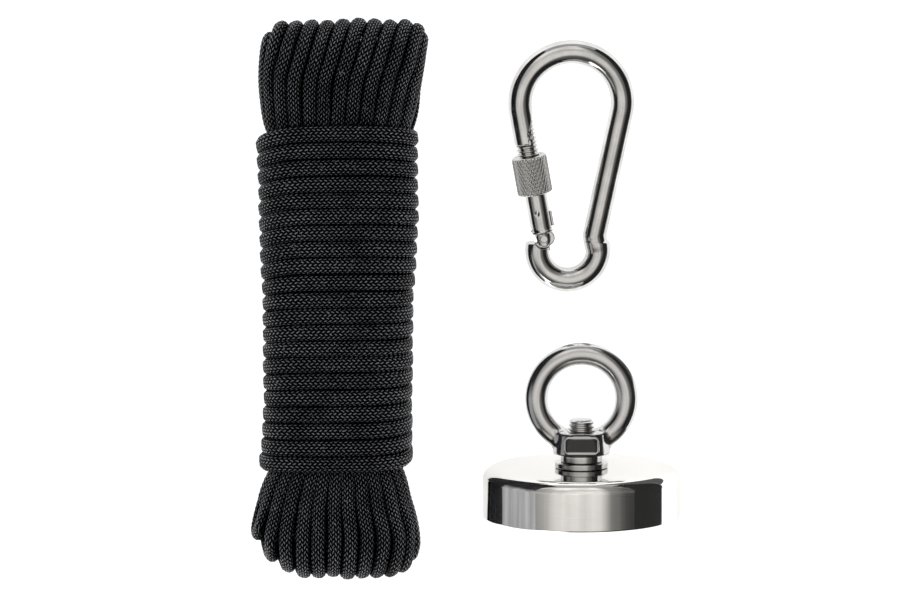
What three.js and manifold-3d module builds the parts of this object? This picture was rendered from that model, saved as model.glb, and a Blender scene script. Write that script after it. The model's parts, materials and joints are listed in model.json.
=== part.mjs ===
// A magnet fishing kit: a pot magnet with a screwed eye nut, a screw gate carabiner and a wrapped hank of rope.
// Millimetres, +Z up. Everything rests on the plane z = 0. The magnet lies on its side with its axis along +Y,
// the carabiner and the hank lie flat. The origin is at the middle of the kit's footprint.
import * as THREE from 'three';
import { mergeVertices } from 'three/addons/utils/BufferGeometryUtils.js';
import Module from 'manifold-3d';

const wasm = await Module();
wasm.setup();

// Magnet: heights run from the magnetic face (0) towards the eye.
const POT_R = 30;
const POT_H = 15;
const POT_WALL = 3.4;
const POT_FLOOR = 10.5;
const POT_CORNER = 3.5;
const MAGNET_AT = [35.6, -64.4, POT_R];
const RING_R = [11.75, 25.5];
const RING_H = [0.4, 10.2];
const BUSH_R = 10;
const RESIN_TOP = 10.1;
const SHANK_R = 3.95;
const HOLE_R = 4.3;
const HEAD_R = 8;
const HEAD_RECESS = 0.2;
const HEAD_RIM = 0.3;
const CONE_PLAY = 0.6;
const SOCKET_AF = 5;
const SOCKET_DEPTH = 3.2;
const STUD_END = 29.8;
const GAP = 0.1;

// Eye nut stack
const WASHER = { low: 15.1, high: 16.8, inner: 4.2, outer: 8 };
const SPLIT = { low: 16.9, high: 19.1, inner: 4.15, outer: 6.3, cut: 1.2, slant: 30, side: 70 };
const BOSS = { low: 19.2, high: 26.2, r: 8.65, flat: 7.2, bore: 4.2, chamfer: 0.8 };
const EYE = { centre: 36.1, ring: 13.6, wire: 3.43 };
const PANEL = { wide: 10.4, high: 4.8, proud: 0.35, frame: 0.7, corner: 1.2 };

// Carabiner: its own plane is x, y with the centre of the big bend at 0, 0 and z across its thickness.
const HOOK_AT = [32.5, 58.3];
const ROD_R = 3.6;
const TOP_BEND = 15.55;
const LOW_BEND = { x: -1, y: -45.2, r: 9.27 };
const GATE_LEAN = THREE.MathUtils.degToRad(10.1);
const LEG_LEAN = THREE.MathUtils.degToRad(12.1);
const NOSE_Y = -12.3;
const LEG_END_Y = -39.5;
const SHOULDER_Y = -42.8;
const GATE_R = 3.3;
const SLEEVE = { top: 3.86, length: 11.9, r: 5.35, bore: 3.45, counterbore: 3.85, counterDepth: 5.7 };
const HINGE = { along: 29.66, pin: 1, hole: 1.15, head: 1.6, ear: 2.6, slot: 1.65, tenon: 1.45 };
const CAM = { r: 2.5, offset: 0.9 };
const SPRING = { bore: 1.5, r: 1.15, wire: 0.25, top: 15.2, bottom: 22.2, turns: 6 };
const PLUNGER = { r: 1.35, top: 22.75, bottom: 27.06 };
const LATCH = { across: 1.9, above: 1.9, r: 0.55, half: 2.4, room: 0.2, tongue: 1.2, slot: 1.5 };
const FLOOR_GAP = 0.2;

// Hank of rope
const HANK_X = -38;
const HANK_LENGTH = 172.6;
const HANK_THICK = 34.5;

const STEEL = { nickel: [0xc9cacc, 0.12], stainless: [0xb9bbbd, 0.2], ferrite: [0x55585c, 0.45] };

function material(color, roughness, metalness) {
  return new THREE.MeshStandardMaterial({ color, roughness, metalness });
}

function metal(kind) {
  const [color, roughness] = STEEL[kind];
  return material(color, roughness, 1);
}

function mesh(name, geometry, finish) {
  const made = new THREE.Mesh(geometry, finish);
  made.name = name;
  return made;
}

// three.js geometry to a solid that can be cut, and back
function solid(geometry) {
  const bare = geometry.clone();
  bare.deleteAttribute('normal');
  bare.deleteAttribute('uv');
  const merged = mergeVertices(bare, 1e-4);
  const triVerts = new Uint32Array(merged.index.array);
  const vertProperties = new Float32Array(merged.attributes.position.array);
  return new wasm.Manifold(new wasm.Mesh({ numProp: 3, vertProperties, triVerts }));
}

function shape(body) {
  const { vertProperties, triVerts, numProp } = body.getMesh();
  const geometry = new THREE.BufferGeometry();
  const points = [];
  for (let i = 0; i < vertProperties.length; i += numProp) {
    points.push(vertProperties[i], vertProperties[i + 1], vertProperties[i + 2]);
  }
  geometry.setAttribute('position', new THREE.Float32BufferAttribute(points, 3));
  geometry.setIndex(Array.from(triVerts));
  geometry.computeVertexNormals();
  return geometry;
}

// A closed ring or disc about Y from [radius, height] corners listed upwards on the outside
function turned(corners, segments = 64) {
  const outline = corners.map(([r, y]) => new THREE.Vector2(r, y));
  const closed = corners[0][0] === 0 && corners.at(-1)[0] === 0;
  if (!closed) {
    outline.push(outline[0].clone());
  }
  return new THREE.LatheGeometry(outline, segments);
}

function ring(inner, outer, low, high, segments = 64) {
  return turned([[inner, low], [outer, low], [outer, high], [inner, high]], segments);
}

function rod(radius, low, high, segments = 32) {
  return new THREE.CylinderGeometry(radius, radius, high - low, segments).translate(0, (low + high) / 2, 0);
}

function arc(cx, cy, r, from, to, steps) {
  const points = [];
  for (let i = 0; i <= steps; i += 1) {
    const a = from + ((to - from) * i) / steps;
    points.push([cx + r * Math.cos(a), cy + r * Math.sin(a)]);
  }
  return points;
}

// ---- magnet ----

function potShell() {
  const cavity = POT_R - POT_WALL;
  return turned([
    [cavity, 0],
    [POT_R - 0.5, 0],
    [POT_R, 0.5],
    ...arc(POT_R - POT_CORNER, POT_H - POT_CORNER, POT_CORNER, 0, Math.PI / 2, 5),
    [HOLE_R, POT_H],
    [HOLE_R, POT_FLOOR],
    [cavity, POT_FLOOR],
  ]);
}

function centreBush() {
  const cone = HEAD_R + CONE_PLAY;
  return turned([
    [cone, GAP],
    [BUSH_R, GAP],
    [BUSH_R, POT_FLOOR - GAP],
    [HOLE_R, POT_FLOOR - GAP],
    [HOLE_R, GAP + cone - HOLE_R],
  ], 48);
}

function screwStud() {
  const rim = HEAD_RECESS + HEAD_RIM;
  const chamfer = 0.8;
  const blank = solid(turned([
    [0, HEAD_RECESS],
    [HEAD_R, HEAD_RECESS],
    [HEAD_R, rim],
    [SHANK_R, rim + HEAD_R - SHANK_R],
    [SHANK_R, STUD_END - chamfer],
    [SHANK_R - chamfer, STUD_END],
    [0, STUD_END],
  ], 32));
  const socket = solid(rod(SOCKET_AF / Math.sqrt(3), -1, HEAD_RECESS + SOCKET_DEPTH, 6));
  return shape(blank.subtract(socket));
}

function splitWasher() {
  const whole = solid(ring(SPLIT.inner, SPLIT.outer, SPLIT.low, SPLIT.high, 48));
  const tool = new THREE.BoxGeometry(SPLIT.cut, 6, SPLIT.outer);
  tool.rotateZ(THREE.MathUtils.degToRad(SPLIT.slant));
  tool.translate(0, (SPLIT.low + SPLIT.high) / 2, (SPLIT.outer + SPLIT.inner) / 2);
  tool.rotateY(THREE.MathUtils.degToRad(SPLIT.side));
  return shape(whole.subtract(solid(tool)));
}

function roundedRect(wide, high, corner) {
  const s = new THREE.Shape();
  const x = wide / 2 - corner;
  const y = high / 2 - corner;
  s.absarc(x, y, corner, 0, Math.PI / 2);
  s.absarc(-x, y, corner, Math.PI / 2, Math.PI);
  s.absarc(-x, -y, corner, Math.PI, 1.5 * Math.PI);
  s.absarc(x, -y, corner, 1.5 * Math.PI, 2 * Math.PI);
  return s;
}

function eyeNut() {
  const boss = turned([
    [0, BOSS.low],
    [BOSS.r - BOSS.chamfer, BOSS.low],
    [BOSS.r, BOSS.low + BOSS.chamfer],
    [BOSS.r, BOSS.high - BOSS.chamfer],
    [BOSS.r - BOSS.chamfer, BOSS.high],
    [0, BOSS.high],
  ], 48);
  const middle = (BOSS.low + BOSS.high) / 2;
  const flats = new THREE.BoxGeometry(4 * BOSS.r, 20, 2 * BOSS.flat).translate(0, middle, 0);
  const eye = new THREE.TorusGeometry(EYE.ring, EYE.wire, 16, 48).translate(0, EYE.centre, 0);
  const under = new THREE.BoxGeometry(40, 10, 40).translate(0, BOSS.low - 5, 0);
  const panel = new THREE.ExtrudeGeometry(roundedRect(PANEL.wide, PANEL.high, PANEL.corner), {
    depth: PANEL.proud + 0.5, bevelEnabled: false, curveSegments: 3,
  }).translate(0, middle, BOSS.flat - 0.5);
  const inset = 2 * PANEL.frame;
  const sunk = new THREE.ExtrudeGeometry(roundedRect(PANEL.wide - inset, PANEL.high - inset, PANEL.corner / 2), {
    depth: 2, bevelEnabled: false, curveSegments: 3,
  }).translate(0, middle, BOSS.flat);
  const bore = solid(rod(BOSS.bore, BOSS.low - 1, BOSS.high + 2));
  const body = solid(boss).intersect(solid(flats)).add(solid(panel).subtract(solid(sunk)));
  return shape(body.add(solid(eye).subtract(solid(under))).subtract(bore));
}

function magnetPieces() {
  const outerResin = [RING_R[1] + GAP, POT_R - POT_WALL - GAP];
  const innerResin = [BUSH_R + GAP, RING_R[0] - GAP];
  const resin = material(0x2b2d30, 0.5, 0);
  const group = new THREE.Group();
  group.add(
    mesh('pot_shell', potShell(), metal('nickel')),
    mesh('ring_magnet', ring(...RING_R, ...RING_H), metal('ferrite')),
    mesh('outer_resin_ring', ring(...outerResin, 0.3, RESIN_TOP), resin),
    mesh('inner_resin_ring', ring(...innerResin, 0.3, RESIN_TOP, 48), resin),
    mesh('center_bush', centreBush(), metal('nickel')),
    mesh('screw_stud', screwStud(), metal('nickel')),
    mesh('flat_washer', ring(WASHER.inner, WASHER.outer, WASHER.low, WASHER.high, 48), metal('nickel')),
    mesh('spring_washer', splitWasher(), metal('nickel')),
    mesh('eye_nut', eyeNut(), metal('nickel')),
  );
  group.position.set(...MAGNET_AT);
  return group;
}

// ---- carabiner ----

const gateTangent = new THREE.Vector2(-TOP_BEND * Math.cos(GATE_LEAN), -TOP_BEND * Math.sin(GATE_LEAN));
const gateDown = new THREE.Vector2(Math.sin(GATE_LEAN), -Math.cos(GATE_LEAN));
const legTangent = new THREE.Vector2(TOP_BEND * Math.cos(LEG_LEAN), -TOP_BEND * Math.sin(LEG_LEAN));
const legDown = new THREE.Vector2(-Math.sin(LEG_LEAN), -Math.cos(LEG_LEAN));

function onLine(start, direction, y) {
  return start.clone().addScaledVector(direction, (y - start.y) / direction.y);
}

const nose = onLine(gateTangent, gateDown, NOSE_Y);

// Puts a piece made along +Y into the hook's plane: +Y becomes the gate line upwards, its 0 at the nose's cut face
function alongGate(geometry) {
  return geometry.rotateZ(GATE_LEAN).translate(nose.x, nose.y, 0);
}

function hookRoute() {
  const legEnd = onLine(legTangent, legDown, LEG_END_Y);
  const rise = SHOULDER_Y - LOW_BEND.y;
  const side = Math.asin(rise / LOW_BEND.r);
  const bend = Math.cos(side) * LOW_BEND.r;
  const outline = new THREE.Path();
  outline.moveTo(nose.x, nose.y);
  outline.lineTo(gateTangent.x, gateTangent.y);
  outline.absarc(0, 0, TOP_BEND, Math.PI + GATE_LEAN, -LEG_LEAN, true);
  outline.lineTo(legEnd.x, legEnd.y);
  outline.bezierCurveTo(
    legEnd.x + legDown.x * 1.2, legEnd.y + legDown.y * 1.2,
    LOW_BEND.x + bend - 0.4, SHOULDER_Y + 1.2,
    LOW_BEND.x + bend, SHOULDER_Y,
  );
  outline.absarc(LOW_BEND.x, LOW_BEND.y, LOW_BEND.r, side, Math.PI - side, true);
  const points = outline.getSpacedPoints(120).map((p) => new THREE.Vector3(p.x, p.y, 0));
  return new THREE.CatmullRomCurve3(points);
}

function circle(r) {
  const s = new THREE.Shape();
  s.absarc(0, 0, r, 0, 2 * Math.PI);
  return s;
}

// Flat plate in the hook's plane, between two heights across its thickness
function plate(outline, low, high, curveSegments = 12) {
  const cut = new THREE.ExtrudeGeometry(outline, { depth: high - low, bevelEnabled: false, curveSegments });
  return cut.translate(0, 0, low);
}

function polygon(corners) {
  return new THREE.Shape(corners.map(([x, y]) => new THREE.Vector2(x, y)));
}

// Outlines in the hook's plane as [across, up] from the nose's cut face. The nose keeps what is outside the latch
// line, and the gate's tip what is inside the same line moved 0.3 mm inwards. The tongue under the nose holds the
// latch pin, in the pocket of the gate's tip.
const LATCH_LINE = [[0.8, -0.1], [0.8, 3.5], [1.5, 4.4], [3.9, 9.6]];
const TIP_LINE = [[-5, 10], [-5, -0.35], [1.1, -0.35], [1.1, 3.8], [1.8, 4.75], [3.9, 9.2], [4, 10]];
const TONGUE = { inner: 0.5, outer: 2.6, low: 0.6, high: 3.2 };
const TIP_POCKET = { inner: 0, outer: 2.95, low: 0.3, high: 3.5 };
const TIP_TOP = 9.2;
const EAR_PLAY = 0.35;
// The tenon below the gate: its half widths at the hinge's height and at its foot
const TENON = { left: 1.7, right: 3.3, footLeft: 1.2, footRight: 3, foot: 5 };
const THROUGH = 5; // half of what cuts right through the rod

function box(side) {
  return polygon([
    [side.inner, side.low],
    [side.outer, side.low],
    [side.outer, side.high],
    [side.inner, side.high],
  ]);
}

function hookBody() {
  const swept = solid(new THREE.ExtrudeGeometry(circle(ROD_R), {
    steps: 60, extrudePath: hookRoute(), bevelEnabled: false, curveSegments: 8,
  }));
  const room = polygon([...LATCH_LINE, [6, 9.6], [6, -2], [0.8, -2]]);
  const noseCut = alongGate(plate(room, -THROUGH, THROUGH));
  const tongue = solid(alongGate(plate(box(TONGUE), -LATCH.tongue, LATCH.tongue)));
  const notchR = LATCH.r + LATCH.room;
  const round = plate(circle(notchR), -THROUGH, THROUGH).translate(LATCH.across, LATCH.above, 0);
  const notch = solid(alongGate(round));
  const way = { inner: LATCH.across, outer: 3, low: LATCH.above - notchR, high: LATCH.above + notchR };
  const mouth = solid(alongGate(plate(box(way), -THROUGH, THROUGH)));
  const down = -HINGE.along;
  const foot = down - TENON.foot;
  const tenonOutline = polygon([
    [-TENON.left, down],
    [TENON.right, down],
    [TENON.footRight, foot],
    [-TENON.footLeft, foot],
  ]);
  const tenon = solid(alongGate(plate(tenonOutline, -HINGE.tenon, HINGE.tenon)));
  const camDisc = plate(circle(CAM.r), -HINGE.tenon, HINGE.tenon).translate(CAM.offset, down, 0);
  const cam = solid(alongGate(camDisc));
  const hole = solid(alongGate(plate(circle(HINGE.hole), -THROUGH, THROUGH).translate(0, down, 0)));
  let body = swept.subtract(solid(noseCut)).add(tongue.subtract(notch).subtract(mouth));
  for (const [low, high] of [[-THROUGH, -HINGE.tenon], [HINGE.tenon, THROUGH]]) {
    const pocket = plate(circle(HINGE.ear + EAR_PLAY), low, high).translate(0, down, 0);
    body = body.subtract(solid(alongGate(pocket)));
  }
  return shape(body.add(tenon).add(cam).subtract(hole));
}

function gate() {
  const end = -HINGE.along;
  const barrel = solid(rod(GATE_R, end, TIP_TOP, 28));
  const waist = { inner: -THROUGH, outer: THROUGH, low: end - 1, high: end + 1.5 };
  const slot = { ...waist, low: end - THROUGH, high: end + CAM.r + CAM.offset };
  const web = polygon([[-2.5, end], [2.5, end], [2.6, end + 3], [-2.6, end + 3]]);
  let body = barrel.subtract(solid(plate(box(waist), -THROUGH, THROUGH)));
  body = body.subtract(solid(plate(polygon(TIP_LINE), -THROUGH, THROUGH)));
  body = body.subtract(solid(plate(box(TIP_POCKET), -LATCH.slot, LATCH.slot)));
  const cheek = GATE_R - 0.25;
  for (const [low, high] of [[-cheek, -HINGE.slot], [HINGE.slot, cheek]]) {
    body = body.add(solid(plate(circle(HINGE.ear), low, high).translate(0, end, 0)));
    body = body.add(solid(plate(web, low, high)));
  }
  const latchHole = plate(circle(LATCH.r + 0.12), -THROUGH, THROUGH).translate(LATCH.across, LATCH.above, 0);
  const cuts = [
    plate(box(slot), -HINGE.slot, HINGE.slot),
    rod(SPRING.bore, end, -SPRING.top + 0.3, 20),
    plate(circle(HINGE.hole), -THROUGH, THROUGH).translate(0, end, 0),
    latchHole,
  ];
  for (const cut of cuts) {
    body = body.subtract(solid(cut));
  }
  return alongGate(shape(body));
}

function hingePin() {
  const reach = GATE_R - 0.15;
  const end = reach + 0.45;
  const domed = HINGE.head - 0.4;
  const pin = turned([
    [0, -end],
    [domed, -end],
    [HINGE.head, -reach],
    [HINGE.pin, -reach],
    [HINGE.pin, reach],
    [HINGE.head, reach],
    [domed, end],
    [0, end],
  ], 20);
  return alongGate(pin.rotateX(Math.PI / 2).translate(0, -HINGE.along, 0));
}

function latchPin() {
  const pin = rod(LATCH.r, -LATCH.half, LATCH.half, 16);
  return alongGate(pin.rotateX(Math.PI / 2).translate(LATCH.across, LATCH.above, 0));
}

function plunger() {
  return alongGate(rod(PLUNGER.r, -PLUNGER.bottom, -PLUNGER.top, 20));
}

function gateSpring() {
  const steps = SPRING.turns * 9;
  const points = [];
  for (let i = 0; i <= steps; i += 1) {
    const a = (2 * Math.PI * SPRING.turns * i) / steps;
    const y = -SPRING.bottom + ((SPRING.bottom - SPRING.top) * i) / steps;
    points.push(new THREE.Vector3(SPRING.r * Math.cos(a), y, SPRING.r * Math.sin(a)));
  }
  const coil = new THREE.ExtrudeGeometry(circle(SPRING.wire), {
    steps, extrudePath: new THREE.CatmullRomCurve3(points), bevelEnabled: false, curveSegments: 3,
  });
  return alongGate(coil);
}

function lockSleeve() {
  const top = -SLEEVE.top;
  const bottom = top - SLEEVE.length;
  const step = top - SLEEVE.counterDepth;
  const edge = 0.4;
  return alongGate(turned([
    [SLEEVE.bore, bottom],
    [SLEEVE.r - edge, bottom],
    [SLEEVE.r, bottom + edge],
    [SLEEVE.r, top - edge],
    [SLEEVE.r - edge, top],
    [SLEEVE.counterbore, top],
    [SLEEVE.counterbore, step],
    [SLEEVE.bore, step],
  ], 32));
}

function carabinerPieces() {
  const group = new THREE.Group();
  group.add(
    mesh('hook_body', hookBody(), metal('stainless')),
    mesh('gate', gate(), metal('stainless')),
    mesh('hinge_pin', hingePin(), metal('stainless')),
    mesh('latch_pin', latchPin(), metal('stainless')),
    mesh('gate_spring', gateSpring(), metal('stainless')),
    mesh('spring_plunger', plunger(), metal('stainless')),
    mesh('lock_sleeve', lockSleeve(), metal('stainless')),
  );
  // The hook lies on its right leg and on the low end of the thicker sleeve, so its plane leans a little.
  const sleeveEnd = nose.clone().addScaledVector(gateDown, SLEEVE.top + SLEEVE.length);
  const reach = Math.abs(sleeveEnd.sub(legTangent).cross(legDown));
  const lean = Math.asin((SLEEVE.r - ROD_R) / reach);
  const hinge = new THREE.Vector3(legDown.x, legDown.y, 0);
  group.quaternion.setFromAxisAngle(hinge, -lean);
  const pivot = new THREE.Vector3(legTangent.x, legTangent.y, 0);
  const moved = pivot.clone().applyQuaternion(group.quaternion);
  group.position.set(HOOK_AT[0] + pivot.x - moved.x, HOOK_AT[1] + pivot.y - moved.y, ROD_R + FLOOR_GAP - moved.z);
  return group;
}

// ---- hank ----

// Outline stations from the bottom end to the top end: [share of the length, left, right, share of full thickness]
const HANK_STATIONS = [
  [0.0, -15, 12, 0],
  [0.012, -21, 18.5, 0.4],
  [0.043, -25.5, 22.7, 0.66],
  [0.085, -27.6, 26, 0.77],
  [0.14, -24.8, 22, 0.8],
  [0.192, -22.2, 20.8, 0.93],
  [0.235, -23.4, 22.7, 1],
  [0.32, -22.2, 22.4, 1],
  [0.5, -22.9, 23.1, 1],
  [0.662, -24, 24.8, 1],
  [0.77, -25.2, 24.2, 1],
  [0.815, -22.8, 22.7, 0.88],
  [0.875, -24, 25.1, 0.8],
  [0.918, -24.3, 27.5, 0.77],
  [0.961, -22.2, 25.7, 0.66],
  [0.988, -18, 21, 0.4],
  [1.0, -13, 14, 0],
];

// A closed lofted bundle: flattened round sections along +Y
function hank() {
  const around = 24;
  const squareness = 0.75;
  const middle = HANK_THICK / 2;
  const rings = HANK_STATIONS.slice(1, -1);
  const points = [];
  for (const [along, left, right, thick] of rings) {
    const half = thick * middle;
    for (let i = 0; i < around; i += 1) {
      const a = (2 * Math.PI * i) / around;
      const c = Math.cos(a);
      const s = Math.sin(a);
      const x = (left + right) / 2 + (right - left) / 2 * Math.sign(c) * Math.abs(c) ** squareness;
      points.push([x, along * HANK_LENGTH, middle + half * Math.sign(s) * Math.abs(s) ** squareness]);
    }
  }
  const faces = [];
  for (let j = 0; j < rings.length - 1; j += 1) {
    for (let i = 0; i < around; i += 1) {
      const k = (i + 1) % around;
      const [a, b, c, d] = [j * around + i, j * around + k, (j + 1) * around + k, (j + 1) * around + i];
      faces.push([a, c, b], [a, d, c]);
    }
  }
  const [first, last] = [HANK_STATIONS[0], HANK_STATIONS.at(-1)];
  points.push([(first[1] + first[2]) / 2, 0, middle], [(last[1] + last[2]) / 2, HANK_LENGTH, middle]);
  const [lowTip, highTip] = [points.length - 2, points.length - 1];
  const top = (rings.length - 1) * around;
  for (let i = 0; i < around; i += 1) {
    const k = (i + 1) % around;
    faces.push([lowTip, i, k], [highTip, top + k, top + i]);
  }
  const geometry = new THREE.BufferGeometry();
  geometry.setAttribute('position', new THREE.Float32BufferAttribute(points.flat(), 3));
  geometry.setIndex(faces.flat());
  geometry.computeVertexNormals();
  return geometry.translate(HANK_X, -HANK_LENGTH / 2, 0);
}

const kit = new THREE.Group();
kit.add(magnetPieces(), carabinerPieces(), mesh('rope_hank', hank(), material(0x17181a, 0.85, 0)));

export default kit;
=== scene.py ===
"""The magnet fishing kit: its looks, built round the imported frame.

Metal pieces are turned profiles, or signed distance fields meshed by surface nets, in millimetres in the
frame of the magnet or of the carabiner. The rope is one tube along a route worked out turn by turn.
"""

import json
import math

import bpy
import numpy as np
from mathutils import Matrix, Vector


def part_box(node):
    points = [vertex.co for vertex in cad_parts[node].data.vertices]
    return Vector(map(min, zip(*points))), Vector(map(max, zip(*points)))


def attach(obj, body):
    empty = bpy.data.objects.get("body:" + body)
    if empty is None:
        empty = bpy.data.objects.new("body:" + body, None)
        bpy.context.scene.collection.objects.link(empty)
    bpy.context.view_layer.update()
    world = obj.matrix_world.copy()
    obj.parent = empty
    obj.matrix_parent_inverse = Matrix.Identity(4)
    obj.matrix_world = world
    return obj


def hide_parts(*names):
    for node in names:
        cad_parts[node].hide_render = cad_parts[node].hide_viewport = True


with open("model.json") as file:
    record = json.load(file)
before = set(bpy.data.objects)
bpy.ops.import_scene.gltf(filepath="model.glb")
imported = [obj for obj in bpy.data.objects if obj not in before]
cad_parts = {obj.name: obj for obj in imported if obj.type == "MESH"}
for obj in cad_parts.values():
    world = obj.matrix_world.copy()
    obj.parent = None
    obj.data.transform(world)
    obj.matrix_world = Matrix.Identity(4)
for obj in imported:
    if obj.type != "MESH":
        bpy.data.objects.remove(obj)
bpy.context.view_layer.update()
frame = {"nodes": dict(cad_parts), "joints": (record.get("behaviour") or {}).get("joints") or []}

MM = 0.001
PI = math.pi

# ---------------------------------------------------------------- places, from the frame

hank_low, hank_high = (np.array(v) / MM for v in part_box("rope_hank"))
pot_low, pot_high = (np.array(v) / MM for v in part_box("pot_shell"))
joint_of = {j["name"]: j for j in frame["joints"]}

# ---------------------------------------------------------------- camera

LENS = 1000
SENSOR = 36
VIEW_WIDTH = 272.7  # millimetres of the scene across the picture
TILT = math.radians(9.3)  # of the line of sight from straight down, towards the magnet's eye
AIM = Vector((-4.1, -3.13, 0)) * MM
CLIP_END = 30  # metres


def make_camera():
    data = bpy.data.cameras.new("camera")
    data.lens = LENS
    data.sensor_width = SENSOR
    data.clip_end = CLIP_END
    camera = bpy.data.objects.new("camera", data)
    bpy.context.scene.collection.objects.link(camera)
    back = Vector((0, math.sin(TILT), math.cos(TILT)))
    up = Vector((0, math.cos(TILT), -math.sin(TILT)))
    turn = Matrix((Vector((1, 0, 0)), up, back)).transposed().to_4x4()
    distance = VIEW_WIDTH * MM * LENS / SENSOR
    camera.matrix_world = Matrix.Translation(AIM + back * distance) @ turn
    bpy.context.scene.camera = camera


make_camera()

# ---------------------------------------------------------------- meshes


def build(name, replaced, points, faces, body, material, normals=None, uvs=None, place=Matrix()):
    """A mesh piece in metres from millimetre points. place carries them into the row frame."""
    mesh = bpy.data.meshes.new(name)
    mesh.from_pydata((points * MM).tolist(), [], faces)
    mesh.polygons.foreach_set("use_smooth", [True] * len(mesh.polygons))
    if uvs is not None:
        layer = mesh.uv_layers.new(name="strand")
        layer.data.foreach_set("uv", uvs.astype(np.float32).ravel())
    mesh.transform(place)
    mesh.materials.append(material)
    if normals is not None:
        turned = normals @ np.array(place.to_3x3()).T
        mesh.normals_split_custom_set_from_vertices(turned.tolist())
    made = bpy.data.objects.new(name, mesh)
    bpy.context.scene.collection.objects.link(made)
    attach(made, body)
    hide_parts(replaced)
    return made


def surface(field, low, high, step):
    """Meshes field(points) = 0, negative inside, by surface nets: points, faces and normals."""
    axes = [np.arange(a - step, b + 2 * step, step) for a, b in zip(low, high)]
    grid = np.stack(np.meshgrid(*axes, indexing="ij"), -1)
    value = field(grid.reshape(-1, 3)).reshape(grid.shape[:3])
    cells = np.array(value.shape) - 1
    total = np.zeros((int(cells.prod()), 3))
    count = np.zeros(int(cells.prod()))
    quads = []
    for axis in range(3):
        low_side = tuple(slice(None, -1) if k == axis else slice(None) for k in range(3))
        high_side = tuple(slice(1, None) if k == axis else slice(None) for k in range(3))
        a, b = value[low_side], value[high_side]
        crossing = (a < 0) != (b < 0)
        where = np.argwhere(crossing)
        share = (a / np.where(a == b, 1, a - b))[crossing]
        point = grid[low_side][crossing]
        point[:, axis] += share * step
        u, v = (axis + 1) % 3, (axis + 2) % 3
        corners = []
        for du, dv in ((0, 0), (-1, 0), (-1, -1), (0, -1)):
            cell = where.copy()
            cell[:, u] += du
            cell[:, v] += dv
            flat = np.ravel_multi_index(tuple(cell.T), tuple(cells))
            np.add.at(total, flat, point)
            np.add.at(count, flat, 1)
            corners.append(flat)
        quad = np.stack(corners, 1)
        outward = a[crossing] < 0
        quad[~outward] = quad[~outward][:, ::-1]
        quads.append(quad)
    used = np.flatnonzero(count)
    index = np.full(len(count), -1)
    index[used] = np.arange(len(used))
    points = total[used] / count[used][:, None]
    faces = index[np.concatenate(quads)].tolist()
    for _ in range(4):  # steps that pull the points onto the surface
        slope = gradient(field, points)
        pull = field(points)[:, None] * slope / np.maximum((slope**2).sum(1), 0.2)[:, None]
        points = points - np.clip(pull, -0.5 * step, 0.5 * step)
    slope = gradient(field, points)
    return points, faces, slope / np.linalg.norm(slope, axis=1)[:, None]


def gradient(field, points, reach=0.02):
    """How fast the field grows along each axis at each point."""
    sides = []
    for axis in range(3):
        offset = np.zeros(3)
        offset[axis] = reach
        sides.append((field(points + offset) - field(points - offset)) / (2 * reach))
    return np.stack(sides, 1)


def union(a, b, soft):
    """The lower of two fields, with a fillet about soft wide where they meet."""
    h = np.clip(0.5 + 0.5 * (b - a) / soft, 0, 1)
    return b * (1 - h) + a * h - soft * h * (1 - h)


def both(a, b, soft=0.3):
    """What is inside both fields, with a rounded edge."""
    return -union(-a, -b, soft)


def carve(a, tool, soft=0.3):
    """What is inside a and outside tool, with a rounded edge."""
    return both(a, -tool, soft)


def tube(p, a, b, r):
    """A rod with round ends."""
    a, b = np.asarray(a, float), np.asarray(b, float)
    along = np.clip(((p - a) @ (b - a)) / ((b - a) @ (b - a)), 0, 1)
    return np.linalg.norm(p - a - along[:, None] * (b - a), axis=1) - r


def arc_tube(p, centre, bend, middle, span, r):
    """A rod bent round centre in the x, y plane. It turns by span to each side of the angle middle."""
    x, y = p[:, 0] - centre[0], p[:, 1] - centre[1]
    turned = np.arctan2(y, x) - middle
    turned = (turned + PI) % (2 * PI) - PI
    held = np.clip(turned, -span, span) + middle
    dx, dy = x - bend * np.cos(held), y - bend * np.sin(held)
    return np.sqrt(dx**2 + dy**2 + p[:, 2] ** 2) - r


def slab(value, low, high):
    """The space where value lies between low and high."""
    return np.abs(value - (low + high) / 2) - (high - low) / 2


def thread(along, angle, pitch, depth):
    """How far a screw thread's surface lies below its crest."""
    steep = 4.5  # how flat its crests and roots are
    phase = (along / pitch - angle / (2 * PI)) % 1
    return depth * (0.5 - 0.5 * np.tanh(steep * (np.abs(2 * phase - 1) - 0.5)) / math.tanh(steep / 2))


def closed_quads(turns, rows):
    """The faces of a ring of turns profiles, each a closed loop of rows points."""
    i, j = np.meshgrid(np.arange(turns), np.arange(rows), indexing="ij")
    i, j = i.ravel(), j.ravel()
    i2, j2 = (i + 1) % turns, (j + 1) % rows
    return np.stack([i * rows + j, i2 * rows + j, i2 * rows + j2, i * rows + j2], 1).tolist()


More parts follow.
